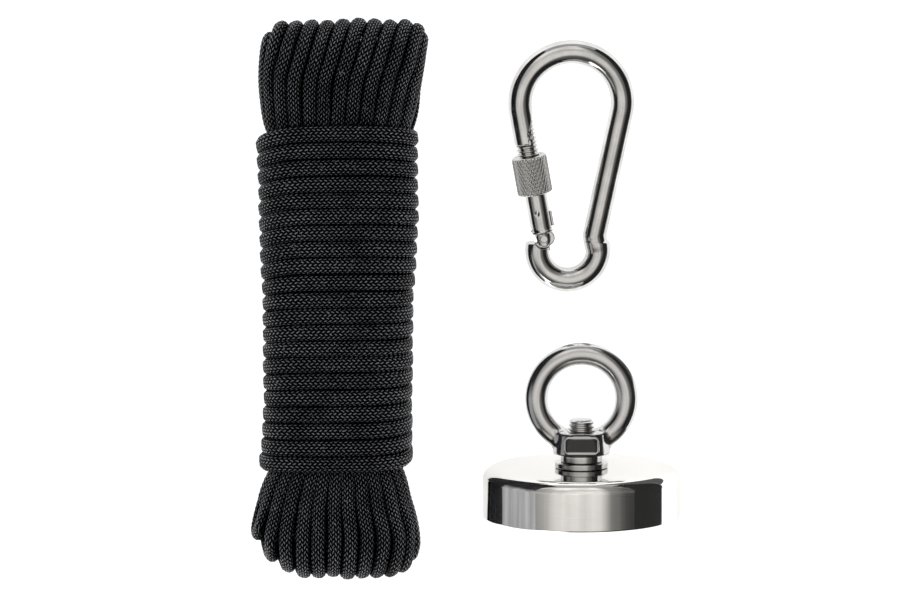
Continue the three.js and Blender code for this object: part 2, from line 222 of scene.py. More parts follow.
def lathe(profile, segments):
    """A ring or disc about +Y from (radius, height, fillet) corners: points, faces and normals.

    The corners run upwards on the outside, so that the faces look outwards.
    """
    rows = []
    count = len(profile)
    for i, (r, y, fillet) in enumerate(profile):
        here = np.array((r, y))
        before = np.array(profile[i - 1][:2]) - here
        after = np.array(profile[(i + 1) % count][:2]) - here
        before /= np.linalg.norm(before)
        after /= np.linalg.norm(after)
        half = 0.5 * math.acos(np.clip(before @ after, -1, 1))
        middle = (before + after) / np.linalg.norm(before + after)
        centre = here + middle * fillet / math.sin(half)
        start = here + before * fillet / math.tan(half) - centre
        end = here + after * fillet / math.tan(half) - centre
        first, last = math.atan2(start[1], start[0]), math.atan2(end[1], end[0])
        sweep = (last - first + PI) % (2 * PI) - PI
        outward = 1 if sweep > 0 else -1
        steps = max(2, int(abs(sweep) * 6 + fillet * 2))
        for k in range(steps + 1):
            a = first + sweep * k / steps
            spoke = np.array((math.cos(a), math.sin(a)))
            rows.append((*(centre + fillet * spoke), *(outward * spoke)))
    rows = np.array(rows)
    angles = np.linspace(0, 2 * PI, segments, endpoint=False)
    sin, cos = np.sin(angles)[:, None], np.cos(angles)[:, None]
    flat = np.ones_like(sin)
    points = np.stack([rows[:, 0] * sin, rows[:, 1] * flat, rows[:, 0] * cos], -1).reshape(-1, 3)
    normals = np.stack([rows[:, 2] * sin, rows[:, 3] * flat, rows[:, 2] * cos], -1).reshape(-1, 3)
    return points, closed_quads(segments, len(rows)), normals


# ---------------------------------------------------------------- materials


def new_material(name):
    """A new material, its node tree and its shader."""
    material = bpy.data.materials.new(name)
    material.use_nodes = True
    tree = material.node_tree
    return material, tree, tree.nodes["Principled BSDF"]


def node(tree, kind, inputs=None, **settings):
    """A new node. Each of inputs is a value, or a socket to link from."""
    made = tree.nodes.new(kind)
    for key, value in settings.items():
        setattr(made, key, value)
    for key, value in (inputs or {}).items():
        if isinstance(value, bpy.types.NodeSocket):
            tree.links.new(value, made.inputs[key])
        else:
            made.inputs[key].default_value = value
    return made


def noise(tree, place, scale, detail, roughness=0.5):
    """Noise over place, from 0 to 1."""
    made = node(tree, "ShaderNodeTexNoise", {
        "Vector": place, "Scale": scale, "Detail": detail, "Roughness": roughness,
    })
    return made.outputs["Fac"]


def ramp(tree, value, stops):
    """A colour ramp of value, with stops of (position, grey or colour)."""
    made = node(tree, "ShaderNodeValToRGB", {"Fac": value})
    elements = made.color_ramp.elements
    while len(elements) < len(stops):
        elements.new(0.5)
    for element, (at, grey) in zip(elements, stops):
        element.position = at
        element.color = (*grey, 1) if isinstance(grey, tuple) else (grey, grey, grey, 1)
    return made.outputs["Color"]


def blended(tree, a, b, how):
    """The colours a and b, blended in full in the way that how names."""
    made = node(tree, "ShaderNodeMix", {"Factor": 1.0, 6: a, 7: b}, data_type="RGBA", blend_type=how)
    return made.outputs[2]


def add_bump(tree, shader, height, strength, distance):
    """Bumps of height on the shader, distance metres deep."""
    bump = node(tree, "ShaderNodeBump", {"Height": height, "Strength": strength, "Distance": distance})
    tree.links.new(bump.outputs[0], shader.inputs["Normal"])


def polished_metal(name, colour, roughness, wear, grain=0.0, mottle=0.93):
    """Plated or polished metal: clouded tint and roughness, fine scratches and a satin grain where asked.

    mottle is how bright the darkest clouds are, and wear how deep the scratches look.
    """
    material, tree, shader = new_material(name)
    place = node(tree, "ShaderNodeTexCoord").outputs["Object"]
    cloud = noise(tree, place, 130, 5, 0.6)
    stretched = node(tree, "ShaderNodeMapping", {
        "Vector": place, "Rotation": (0.3, 0.5, 0.7), "Scale": (90, 2600, 90),
    })
    scratch = noise(tree, stretched.outputs[0], 1, 3)
    pits = noise(tree, place, 1900, 2)
    tint = ramp(tree, cloud, [(0.3, tuple(c * mottle for c in colour)), (0.75, colour)])
    tree.links.new(tint, shader.inputs["Base Color"])
    low, high = roughness
    spread = node(tree, "ShaderNodeMapRange", {
        "Value": cloud, "From Min": 0.3, "From Max": 0.75, "To Min": low, "To Max": high,
    })
    tree.links.new(spread.outputs[0], shader.inputs["Roughness"])
    lines = ramp(tree, scratch, [(0.60, 0.0), (0.74, 1.0)])
    marks = node(tree, "ShaderNodeMath", {0: lines, 1: pits}, operation="MULTIPLY")
    rough = node(tree, "ShaderNodeMath", {0: pits, 1: grain}, operation="MULTIPLY")
    height = node(tree, "ShaderNodeMath", {0: marks.outputs[0], 1: rough.outputs[0]}, operation="ADD")
    add_bump(tree, shader, height.outputs[0], wear, 0.00002)
    shader.inputs["Metallic"].default_value = 1
    shader.inputs["Specular Tint"].default_value = (0.8, 0.8, 0.79, 1)  # how much the edges reflect
    return material


def resin_material():
    """Black cast resin, slightly uneven."""
    material, tree, shader = new_material("cast_resin")
    place = node(tree, "ShaderNodeTexCoord").outputs["Object"]
    cloud = noise(tree, place, 420, 4)
    tint = ramp(tree, cloud, [(0.35, (0.016, 0.017, 0.018)), (0.7, (0.04, 0.041, 0.043))])
    tree.links.new(tint, shader.inputs["Base Color"])
    add_bump(tree, shader, cloud, 0.4, 0.0001)
    shader.inputs["Roughness"].default_value = 0.38
    return material


SIDES = 12  # of the rope's mesh
LATTICE = 0.78  # between the rings of the rope's mesh
YARNS = 18  # columns of the braid round the rope
FLOAT_PITCH = 1.45  # along the rope, from one yarn float to the next


def rope_material():
    """Black braid: yarns raised in a pattern that follows the tube, each of fine glossy filaments."""
    material, tree, shader = new_material("black_braid")
    uv = node(tree, "ShaderNodeUVMap", uv_map="strand").outputs[0]
    split = node(tree, "ShaderNodeSeparateXYZ", {"Vector": uv})

    def sums(operation, a, b=0.0):
        return node(tree, "ShaderNodeMath", {0: a, 1: b}, operation=operation).outputs[0]

    # columns of yarn floats run along the rope, staggered, and lean left and right in turn
    column = sums("MULTIPLY", split.outputs["Y"], YARNS / SIDES)
    lean = sums("MULTIPLY", sums("PINGPONG", column, 1.0), 0.7)
    stagger = sums("MULTIPLY", sums("FLOORED_MODULO", sums("FLOOR", column), 2.0), 0.5)
    row = sums("ADD", sums("MULTIPLY", split.outputs["X"], LATTICE / FLOAT_PITCH), stagger)
    float_wave = sums("COSINE", sums("MULTIPLY", sums("ADD", row, lean), 2 * PI))
    column_wave = sums("ABSOLUTE", sums("SINE", sums("MULTIPLY", column, PI)))
    grain = sums("MULTIPLY", sums("ADD", float_wave, 1.0), column_wave)
    lattice = sums("SUBTRACT", sums("MULTIPLY", grain, 1.25), 1.0)
    turned = node(tree, "ShaderNodeMapping", {"Vector": uv, "Rotation": (0, 0, 0.78), "Scale": (7, 1.1, 1)})
    place = node(tree, "ShaderNodeTexCoord").outputs["Object"]
    filaments = noise(tree, turned.outputs[0], 1.3, 3)
    patches = noise(tree, place, 110, 3)
    flecks = noise(tree, place, 1500, 1)
    raised = sums("ADD", sums("MULTIPLY", lattice, 0.3), filaments)
    # the yarn's colour by height, with painted shade near black in the crevices and painted highlights on
    # the raised tops
    yarn = ramp(tree, raised, [
        (0.34, (0.0012, 0.0012, 0.0014)),
        (0.62, (0.0155, 0.016, 0.0195)),
        (0.95, (0.36, 0.375, 0.415)),
    ])
    # the first column faces out of the hank; the sides, where turns touch, get painted shade in their
    # colour and less shine
    facing = sums("COSINE", sums("MULTIPLY", split.outputs["Y"], 2 * PI / SIDES))
    painted_side_shade = ramp(tree, facing, [(0.1, 0.03), (0.45, 0.35), (0.75, 1.0)])
    shade = sums("MULTIPLY", ramp(tree, patches, [(0.3, 0.55), (0.7, 1.3)]), painted_side_shade)
    tone_with_painted_light = blended(tree, yarn, shade, "MULTIPLY")
    glint = ramp(tree, flecks, [(0.68, 0.0), (0.8, 0.3)])
    tree.links.new(blended(tree, tone_with_painted_light, glint, "ADD"), shader.inputs["Base Color"])
    shine = sums("MULTIPLY", ramp(tree, raised, [(0.45, 0.01), (0.9, 1.0)]), painted_side_shade)
    tree.links.new(shine, shader.inputs["Specular IOR Level"])
    height = sums("ADD", sums("MULTIPLY", lattice, 0.45), sums("MULTIPLY", filaments, 0.8))
    add_bump(tree, shader, height, 1.0, 0.0004)
    shader.inputs["Roughness"].default_value = 0.3
    return material


NICKEL = polished_metal("nickel_plate", (0.86, 0.85, 0.825), (0.03, 0.09), 0.35)
CAST_NICKEL = polished_metal("cast_nickel", (0.62, 0.615, 0.61), (0.07, 0.2), 0.6, 0.5)
STAINLESS = polished_metal("stainless", (0.70, 0.695, 0.68), (0.03, 0.1), 0.45, mottle=0.72)
KNURLED = polished_metal("knurled_steel", (0.62, 0.615, 0.60), (0.04, 0.1), 0.4)
# near black metal: painted shade for recesses
PAINTED_SHADE_METAL = polished_metal("painted_shade_metal", (0.06, 0.059, 0.058), (0.25, 0.4), 1.0, 1.0)
SATIN = polished_metal("satin_steel", (0.5, 0.5, 0.51), (0.25, 0.42), 0.8, 0.6)
RESIN = resin_material()
ROPE = rope_material()

# ---------------------------------------------------------------- rope

ROPE_D = 4.6
HIDDEN_STEP = 3.0  # between the rings of the rope's mesh where it can't be seen
COLUMNS = 13  # of strands on the front
WRAPS = 21
STRAND_DRAW = np.random.RandomState(7)

# Outlines of the hank from its bottom end to its top end: share of the length, left, right
OUTLINE = np.array([
    (0.0, -24.0, 21.5),
    (0.043, -26.5, 24.2),
    (0.085, -27.6, 26.0),
    (0.14, -24.8, 22.4),
    (0.192, -21.8, 20.8),
    (0.235, -21.4, 20.9),
    (0.5, -21.0, 21.0),
    (0.77, -22.6, 22.2),
    (0.815, -22.8, 22.7),
    (0.875, -24.0, 25.1),
    (0.918, -24.3, 27.0),
    (0.961, -24.0, 26.8),
    (1.0, -22.8, 25.0),
])
WRAP_OUTLINE = np.array([
    (0.19, -25.0, 22.4),
    (0.22, -23.6, 22.8),
    (0.32, -22.4, 22.4),
    (0.5, -22.9, 23.0),
    (0.66, -24.0, 24.6),
    (0.77, -24.6, 24.2),
    (0.8, -25.2, 24.4),
])
# the line that the outlines are measured from, half way up the hank's thickness
hank_middle = np.array([hank_low[0] - OUTLINE[:, 1].min(), 0, (hank_low[2] + hank_high[2]) / 2])

WRAP_TOP, WRAP_LOW = 53.1, -48.1  # heights of the first and of the last wrap, mid front
WRAP_START = -0.30 * PI  # angle round the bundle, from its right side
WRAP_BOW = 5.2  # how far the first wrap's sides lie below its front. Its back lies twice as far below.
WRAP_INSET = 2.45  # from the wraps' outline to their middle line
BUNDLE_DEPTH = 11.6  # of the outermost strands' middles, in front of the hank's middle
BUNDLE_HALF = 20  # of the bundle's width, nearly
SQUEEZE_SIDES, SQUEEZE_DEPTH = 3.4, 1.5  # how far the wraps press the strands in
SQUEEZE_REACH = 7  # the length over which they do
RUN_STEP = 4.0  # between the points of a straight run
TOP_TURN, LOW_TURN = 10.5, 8.5  # how far a strand's end turns reach past its runs
FREE_R, THICKER = 2.22, 0.3  # the rope's radius in the strands, and how much more it is in the wraps
FREE_SQUARE, SQUARER = 2.6, 0.9  # the same of its squareness: 2 would be round
LUMP = 0.07  # height of the braid's lumps
TAIL_STEPS = 8
TAIL_UNDER = 6  # points of the tail that lie under the wraps


def edges(y, table):
    """The left and right edges that the table gives at height y."""
    along = (y - hank_low[1]) / (hank_high[1] - hank_low[1])
    left = np.interp(along, table[:, 0], table[:, 1])
    right = np.interp(along, table[:, 0], table[:, 2])
    return left, right


def squeezed(y):
    """1 where the wraps hold the strands together, 0 at the free ends."""
    below_top = np.clip((WRAP_TOP + 1 - y) / SQUEEZE_REACH, 0, 1)
    above_low = np.clip((y - WRAP_LOW + SQUEEZE_REACH) / SQUEEZE_REACH, 0, 1)
    return below_top * above_low


def in_sight(y):
    """Whether a lengthwise strand can be seen at height y, past the wraps."""
    return y < WRAP_LOW - 3 or y > WRAP_TOP - 8


def bundle_section():
    """Places of evenly spaced strands round the front half of the bundle, from -1 to 1 along it."""
    a = np.linspace(PI - 0.1, 0.1, 400)
    x = np.sign(np.cos(a)) * np.abs(np.cos(a)) ** 0.7
    z = np.sin(a) ** 0.7
    steps = np.hypot(np.diff(x) * BUNDLE_HALF, np.diff(z) * BUNDLE_DEPTH)
    along = np.concatenate([[0], np.cumsum(steps)])
    return along / along[-1] * 2 - 1, x, z


SECTION = bundle_section()


def strand_place(column, y):
    """Where a lengthwise strand of the outer layer lies at height y: sideways, and above the middle."""
    share = np.clip(column / (COLUMNS - 1) * 2 - 1, -1, 1)
    left, right = edges(y, OUTLINE)
    half = (right - left) / 2 - ROPE_D / 2 - SQUEEZE_SIDES * squeezed(y)
    depth = BUNDLE_DEPTH - SQUEEZE_DEPTH * squeezed(y)
    x = np.interp(share, SECTION[0], SECTION[1])
    z = np.interp(share, SECTION[0], SECTION[2])
    return (left + right) / 2 + half * x, depth * z


def outer_turns():
    """Points of the lengthwise turns, each up the front, over the top, down the back and under the bottom.

    With them comes whether each point is in sight.
    """
    points, shown = [], []
    for k in range(COLUMNS):
        jitter = STRAND_DRAW.uniform(-0.35, 0.35, 4)
        share = k / (COLUMNS - 1) * 2 - 1
        # the hank's corners are rounded, most at the top right
        top_corner = 3.4 * max(0, -share) ** 7 + 8.5 * max(0, share) ** 5
        low_corner = 11.3 * abs(share) ** 4.5
        top_y = hank_high[1] - ROPE_D / 2 - top_corner + jitter[0] * 1.4 - 0.5
        low_y = hank_low[1] + ROPE_D / 2 + low_corner + jitter[1] * 1.4 + 0.5
        lean_from = top_y - 16
        for y in np.arange(low_y + 9, top_y - 11, RUN_STEP):
            x, z = strand_place(k + 0.18 * max(0, (y - lean_from) / 6) ** 2, y)
            points.append((x + jitter[2] * 0.6, y, z))
            shown.append(in_sight(y))
        for t in np.linspace(0, 1, 9):
            turn = PI * t
            x, z = strand_place(k + np.interp(t, [0, 0.5, 1], [0.22, 1.15, 0.5]), top_y - 10)
            x += 1.8 * max(0, share) ** 3 * math.sin(turn)
            points.append((x, top_y - TOP_TURN + TOP_TURN * math.sin(turn), z * math.cos(turn)))
            shown.append(True)
        if k == COLUMNS - 1:
            break
        for y in np.arange(top_y - 14, low_y + 9, -RUN_STEP):
            x, z = strand_place(k + 0.5, y)
            points.append((x + jitter[3] * 0.6, y, -z))
            shown.append(in_sight(y))
        for t in np.linspace(0, 1, 8)[1:-1]:
            turn = PI * t
            y = low_y + LOW_TURN - LOW_TURN * math.sin(turn)
            x, z = strand_place(k + 0.5 + 0.5 * min(1, 1.6 * t), y)
            points.append((x, y, -z * math.cos(turn)))
            shown.append(True)
    return points, shown


def core_turns():
    """Points of the flat turns inside the bundle: four levels of two turns, hidden by the outer ones."""
    points = []
    reach, wide, narrow = 63.0, 14.0, 9.4
    levels = [-5.6, -1.9, 1.9, 5.6]
    inward = True
    for level, z in enumerate(levels):
        radii = (wide, narrow) if inward else (narrow, wide)
        for turn, r in enumerate(radii):
            start_z = levels[level - 1] if turn == 0 and level > 0 else z
            after = radii[1] if turn == 0 else r
            runs = np.linspace(-reach, reach, 16)
            for i, y in enumerate(runs):
                points.append((-r, y, start_z + (z - start_z) * min(1, i / 8)))
            for a in np.linspace(PI, 0, 9)[1:-1]:
                points.append((r * math.cos(a), reach + r * math.sin(a), z))
            for y in runs[::-1]:
                points.append((r, y, z))
            for a in np.linspace(0, -PI, 9)[1:-1]:
                x = (r - after) / 2 + (r + after) / 2 * math.cos(a)
                points.append((x, -reach + (r + after) / 2 * math.sin(a), z))
        inward = not inward
    return points, [False] * len(points)


def wrap_turns():
    """Points of the wraps from the first, at the top, to the last, and the tail tucked back under them."""
    points = []
    steps = 28
    spread = (WRAP_TOP - WRAP_LOW) / (WRAPS - 1)
    thick = hank_middle[2] - WRAP_INSET
    loose = STRAND_DRAW.uniform(-1, 1, WRAPS + 1)
    for i in range(int((WRAPS - 0.2) * steps)):
        lap = i / steps
        a = WRAP_START + 2 * PI * lap
        c, s = math.cos(a), math.sin(a)
        bow = WRAP_BOW * (1 - lap / WRAPS) * (1 - s)
        y = WRAP_TOP - spread * (lap - 0.4 + 0.05 * math.sin(2 * a)) - bow
        left, right = edges(y, WRAP_OUTLINE)
        slack = 0.35 * np.interp(lap, np.arange(WRAPS + 1), loose)
        half = (right - left) / 2 - WRAP_INSET + slack * 0.5
        x = (left + right) / 2 + half * np.sign(c) * abs(c) ** 0.62
        z = (thick - 0.1) * np.sign(s) * abs(s) ** 0.72
        points.append((x, y + 0.9 * slack * s, z))
    x, y, z = points[-1]
    for step in range(1, TAIL_STEPS + 1):
        ease = min(1, step / 3)
        points.append((x + 2.2 * step, y + 3.6 * step * ease, z + 4.4 * ease))
    return points


def rope_route():
    """The rope's points from its start in the bundle, which of them are seen, and where the wraps start."""
    core, core_shown = core_turns()
    outer, outer_shown = outer_turns()
    wraps = wrap_turns()
    # the last strand runs down the back from the top and turns into the first wrap
    x0, y0, z0 = outer[-1]
    x1, y1, z1 = wraps[0]
    joins = [
        (x0 + (x1 - x0) * t**2, y0 + (y1 - y0) * (1 - (1 - t) ** 1.6), z0 + (z1 - z0) * t)
        for t in (0.2, 0.4, 0.6, 0.8)
    ]
    points = np.array(core + outer + joins + wraps)
    shown = core_shown + outer_shown + [True] * (len(joins) + len(wraps))
    shown[-TAIL_UNDER:] = [False] * TAIL_UNDER
    return points + hank_middle, np.array(shown), len(points) - len(wraps)


def outward(p):
    """Directions out of the bundle, which is a long cushion round the origin."""
    cushion_end = 74
    past = np.sign(p[:, 1]) * np.maximum(0, np.abs(p[:, 1]) - cushion_end)
    out = np.stack([p[:, 0] / 400, past / 110, p[:, 2] / 130], 1)
    return out / np.maximum(np.linalg.norm(out, axis=1), 1e-6)[:, None]


def smooth_line(points, per=10):
    """Cubic B-spline through the neighbourhood of the points, so that no corner is left."""
    p = np.concatenate([points[:1], points[:1], points, points[-1:], points[-1:]])
    t = np.linspace(0, 1, per, endpoint=False)[:, None]
    basis = ((1 - t) ** 3, 3 * t**3 - 6 * t**2 + 4, -3 * t**3 + 3 * t**2 + 3 * t + 1, t**3)
    runs = [
        sum(b * p[i + k] for k, b in enumerate(basis)) / 6
        for i in range(len(p) - 3)
    ]
    return np.concatenate(runs)


def rope_middle():
    """The middle of each ring of the rope's mesh, whether it lies in the wraps (1 or 0), and the length."""
    route, shown, first_wrap = rope_route()
    line = smooth_line(route)
    steps = np.linalg.norm(np.diff(line, axis=0), axis=1)
    along = np.concatenate([[0], np.cumsum(steps)])
    length = along[-1]
    share = np.linspace(-1, len(route), len(line))
    seen = np.interp(share, np.arange(len(route)), shown.astype(float)) > 0.01
    stations = [0.0]
    while stations[-1] < length - LATTICE:
        visible = np.interp(stations[-1], along, seen) > 0
        stations.append(stations[-1] + (LATTICE if visible else HIDDEN_STEP))
    stations = np.array([s for s in stations if s < length])
    middle = np.stack([np.interp(stations, along, line[:, k]) for k in range(3)], 1)
    wrapped = (stations > along[np.searchsorted(share, first_wrap)]).astype(float)
    return middle, wrapped, length


def rope_sides(middle):
    """Two directions square to the rope at each ring. The first faces out of the hank, and turns slowly."""
    ahead = np.gradient(middle, axis=0)
    ahead /= np.linalg.norm(ahead, axis=1)[:, None]
    wanted = outward(middle - hank_middle)
    side = np.zeros_like(ahead)
    last = wanted[0]
    for i, (forward, out) in enumerate(zip(ahead, wanted)):
        turned = 0.85 * last + 0.15 * out
        turned -= forward * (turned @ forward)
        last = side[i] = turned / np.linalg.norm(turned)
    return side, np.cross(ahead, side)


def rope_faces(count):
    """Faces of a tube of count rings with two end caps, and their corners' ring and side as uvs."""
    i, j = np.meshgrid(np.arange(count - 1), np.arange(SIDES), indexing="ij")
    i, j = i.ravel(), j.ravel()
    j2 = (j + 1) % SIDES
    faces = np.stack([i * SIDES + j, i * SIDES + j2, (i + 1) * SIDES + j2, (i + 1) * SIDES + j], 1).tolist()
    faces.append(list(range(SIDES))[::-1])
    faces.append([(count - 1) * SIDES + k for k in range(SIDES)])
    corners = [(i, j), (i, j + 1), (i + 1, j + 1), (i + 1, j)]
    uvs = np.stack([np.stack(corner, 1) for corner in corners], 1)
    return faces, np.concatenate([uvs.reshape(-1, 2), np.zeros((2 * SIDES, 2))])


def make_rope():
    """The rope, a little thicker and squarer where it is wrapped tight round the bundle."""
    middle, wrapped, length = rope_middle()
    count = len(middle)
    blend = 10  # rings to each side of where the wraps start
    window = np.ones(2 * blend + 1) / (2 * blend + 1)
    wrapped = np.convolve(np.pad(wrapped, blend, mode="edge"), window, mode="valid")[:, None]
    radius = FREE_R + THICKER * wrapped
    square = FREE_SQUARE + SQUARER * wrapped
    side, across = rope_sides(middle)
    angle = 2 * PI * np.arange(SIDES) / SIDES
    lumps = LUMP * (1 - 2 * ((np.arange(count)[:, None] + np.arange(SIDES)) % 2))
    packed = (np.abs(np.cos(angle)) ** square + np.abs(np.sin(angle)) ** square) ** (-1 / square)
    reach = (radius * packed + lumps)[..., None]
    around = np.cos(angle)[None, :, None] * side[:, None] + np.sin(angle)[None, :, None] * across[:, None]
    points = (middle[:, None] + reach * around).reshape(-1, 3)
    points[:, 2] = np.maximum(points[:, 2], 0.05)
    faces, uvs = rope_faces(count)
    rope = build("rope", "rope_hank", points, faces, "rope", ROPE, uvs=uvs)


make_rope()

# ---------------------------------------------------------------- magnet

# Heights run from the magnetic face towards the eye, as in the frame.
magnet_at = np.array([(pot_low[0] + pot_high[0]) / 2, pot_low[1], (pot_low[2] + pot_high[2]) / 2])
MAGNET = Matrix.Translation(Vector(magnet_at) * MM)
pot_r = (pot_high[0] - pot_low[0]) / 2
pot_h = pot_high[1] - pot_low[1]

POT_WALL = 3.4
POT_FLOOR = 10.5  # height of the top plate's inner face
FILL_TOP = 10.1  # of the resin
MAGNET_R, MAGNET_BORE_R = 25.5, 11.75
BUSH_R = 10
HOLE_R = 4.3
FLAT_WASHER = (15.1, 16.8)  # heights of its faces
SPRING_WASHER = (16.9, 19.1)
WASHER_R, WASHER_BORE_R = 8, 4.2
THREAD_PITCH = 1.25
STUD_R, STUD_END = 3.98, 29.8
NUT_LOW, NUT_HIGH = 19.2, 26.2
BOSS_R, BOSS_HALF = 8.0, 7.2  # the eye nut's boss: radius, and half its thickness
PANEL_HEIGHT = 22.7  # of the middle of the boss's raised frame
EYE_HEIGHT, EYE_BEND, EYE_WIRE_R = 36.1, 13.6, 3.43


def turned_piece(name, profile, body, material, segments=192):
    """A turned piece of the magnet, in place of the CAD node of that name."""
    points, faces, normals = lathe(profile, segments)
    build(f"{name}_fine", name, points, faces, body, material, normals, place=MAGNET)


def field_piece(name, field, low, high, step, body, material, place):
    """A piece meshed from a field between two corners, in place of the CAD node of that name."""
    points, faces, normals = surface(field, low, high, step)
    return build(f"{name}_fine", name, points, faces, body, material, normals, place=place)


def make_pot():
    inner_r = pot_r - POT_WALL
    turned_piece("pot_shell", [
        (inner_r, 0, 0.25),
        (pot_r, 0, 0.5),
        (pot_r, pot_h, 3.5),
        (HOLE_R, pot_h, 0.3),
        (HOLE_R, POT_FLOOR, 0.2),
        (inner_r, POT_FLOOR, 0.4),
    ], "magnet", NICKEL, 256)


def make_ring_magnet():
    low, high = 0.4, 10.2
    turned_piece("ring_magnet", [
        (MAGNET_BORE_R, low, 0.5),
        (MAGNET_R, low, 0.5),
        (MAGNET_R, high, 0.3),
        (MAGNET_BORE_R, high, 0.3),
    ], "magnet", SATIN)


def make_resin_rings():
    """The resin on both sides of the ring magnet, 0.05 mm clear of it."""
    inside, outside = MAGNET_R + 0.05, pot_r - POT_WALL - 0.05
    turned_piece("outer_resin_ring", [
        (inside, 0.45, 0.12),
        (outside, 0.25, 0.12),
        (outside, FILL_TOP, 0.1),
        (inside, FILL_TOP, 0.1),
    ], "magnet", RESIN)
    inside, outside = BUSH_R + 0.05, MAGNET_BORE_R - 0.05
    turned_piece("inner_resin_ring", [
        (inside, 0.3, 0.15),
        (outside, 0.45, 0.15),
        (outside, FILL_TOP, 0.1),
        (inside, FILL_TOP, 0.1),
    ], "magnet", RESIN)


def make_bush():
    """The bush, countersunk for the screw's head."""
    low, high = 0.1, 10.4
    turned_piece("center_bush", [
        (8.6, low, 0.15),
        (BUSH_R, low, 0.3),
        (BUSH_R, high, 0.3),
        (HOLE_R, high, 0.2),
        (HOLE_R, 4.4, 0.3),
    ], "magnet", NICKEL, 128)


def make_flat_washer():
    low, high = FLAT_WASHER
    turned_piece("flat_washer", [
        (WASHER_BORE_R, low, 0.2),
        (WASHER_R, low, 0.35),
        (WASHER_R, high, 0.35),
        (WASHER_BORE_R, high, 0.2),
    ], "washers", CAST_NICKEL, 128)


def spring_washer_field(p):
    """A split ring, cut on a slant."""
    low, high = SPRING_WASHER
    half_cut = 0.55
    r = np.hypot(p[:, 0], p[:, 2])
    angle = np.arctan2(p[:, 2], p[:, 0])
    ring = both(slab(r, 4.25, 6.3), slab(p[:, 1], low, high), 0.35)
    cut_at = -0.5 * PI - 0.09 * (p[:, 1] - (low + high) / 2)
    away = np.abs((angle - cut_at + PI) % (2 * PI) - PI) * r
    return carve(ring, away - half_cut, 0.2)


def make_spring_washer():
    field_piece("spring_washer", spring_washer_field, (-7, 16.7, -7), (7, 19.4, 7), 0.2,
                "washers", CAST_NICKEL, MAGNET)


def screw_field(p):
    """The stud, with a countersunk socket head at its low end."""
    r = np.hypot(p[:, 0], p[:, 2])
    y = p[:, 1]
    angle = np.arctan2(p[:, 2], p[:, 0])
    cut = thread(y, angle, THREAD_PITCH, 0.62) * np.clip((y - 8) / 1.5, 0, 1)
    shank = both(r - (STUD_R - cut), slab(y, 2, STUD_END), 0.5)
    tip = both(shank, (r + (y - STUD_END) - 3.4) * 0.7, 0.4)
    head = both((r + y - 8.45) * 0.7, slab(y, 0.2, 5), 0.25)
    head = both(head, r - 8, 0.2)
    body = union(tip, head, 0.4)
    flats = [np.abs(p[:, 0] * math.cos(a) + p[:, 2] * math.sin(a)) for a in (0, PI / 3, 2 * PI / 3)]
    socket = both(np.max(flats, axis=0) - 2.5, y - 3.4, 0.2)
    return carve(body, socket, 0.25)


def make_screw():
    field_piece("screw_stud", screw_field, (-8.3, 0, -8.3), (8.3, 30.2, 8.3), 0.2,
                "magnet", CAST_NICKEL, MAGNET)


def panel_frame(x, y, z):
    """The raised frame with round corners on the front and back of the boss."""
    half_wide, half_high, corner, half_rim = 5.0, 2.4, 1.2, 0.32
    dx = np.abs(x) - (half_wide - corner)
    dy = np.abs(y - PANEL_HEIGHT) - (half_high - corner)
    edge = np.hypot(np.maximum(dx, 0), np.maximum(dy, 0)) + np.minimum(np.maximum(dx, dy), 0) - corner
    return both(np.abs(edge) - half_rim, slab(z, 6.6, 7.52), 0.3)


def eye_nut_field(p):
    x, y, z = p.T
    ring = np.hypot(np.hypot(x, y - EYE_HEIGHT) - EYE_BEND, z) - EYE_WIRE_R
    boss = both(np.hypot(x, z) - BOSS_R - 0.11 * (NUT_HIGH - y), slab(z, -BOSS_HALF, BOSS_HALF), 0.6)
    boss = both(boss, slab(y, NUT_LOW, NUT_HIGH), 0.9)
    body = union(boss, ring, 1.6)
    body = both(body, NUT_LOW - y, 0.4)
    body = union(body, panel_frame(x, y, z), 0.25)
    bore = np.hypot(x, z) - 4.15 - np.clip(y - 25.5, 0, 1.2) * 0.5
    bore = both(bore, y - 27.8, 0.2)
    return carve(body, bore, 0.3)


def darken(piece, place, inside):
    """Gives the painted shade metal to faces whose middles are inside, in millimetres in the frame of
    place.
    """
    piece.data.materials.append(PAINTED_SHADE_METAL)
    back = place.inverted()
    for face in piece.data.polygons:
        if inside(*(back @ face.center / MM)):
            face.material_index = 1


def make_eye_nut():
    """The eye nut, with painted shade inside its raised frame."""
    eye_nut = field_piece("eye_nut", eye_nut_field, (-17.3, 18.9, -7.6), (17.3, 53.4, 7.8), 0.27,
                          "eye_nut", CAST_NICKEL, MAGNET)
    # painted shade on the boss's flat faces within the raised frame's width
    darken(eye_nut, MAGNET, lambda x, y, z: 6.9 < abs(z) < 7.25 and abs(x) < 5.2)


make_pot()
make_ring_magnet()
make_resin_rings()
make_bush()
make_flat_washer()
make_spring_washer()
make_screw()
make_eye_nut()

# ---------------------------------------------------------------- carabiner

ROD_R = 3.6
TOP_BEND = 15.55  # radius of the rod's middle line round the top
LOW_CENTRE = (-1.0, -45.2)
LOW_BEND = 9.27
GATE_LEAN = math.radians(10.1)
LEG_LEAN = math.radians(12.1)
LEG_LENGTH = 38.6
SHOULDER_Y = -42.8  # where the thicker rod of the bottom bend starts
NOSE_Y = -12.3  # of the cut face that the gate meets
HINGE_DOWN = 29.66  # from that face
HINGE_HOLE_R = 1.1
TENON_HALF = 1.45  # half the thickness of the hook's flat end, which the gate turns on
SLOT_HALF = 1.62  # of the gate's slot for it
BARREL_R = 3.3
BARREL_TOP = 9.2
LATCH_AT = 1.9  # the latch pin's middle: across, and up from the nose's cut face

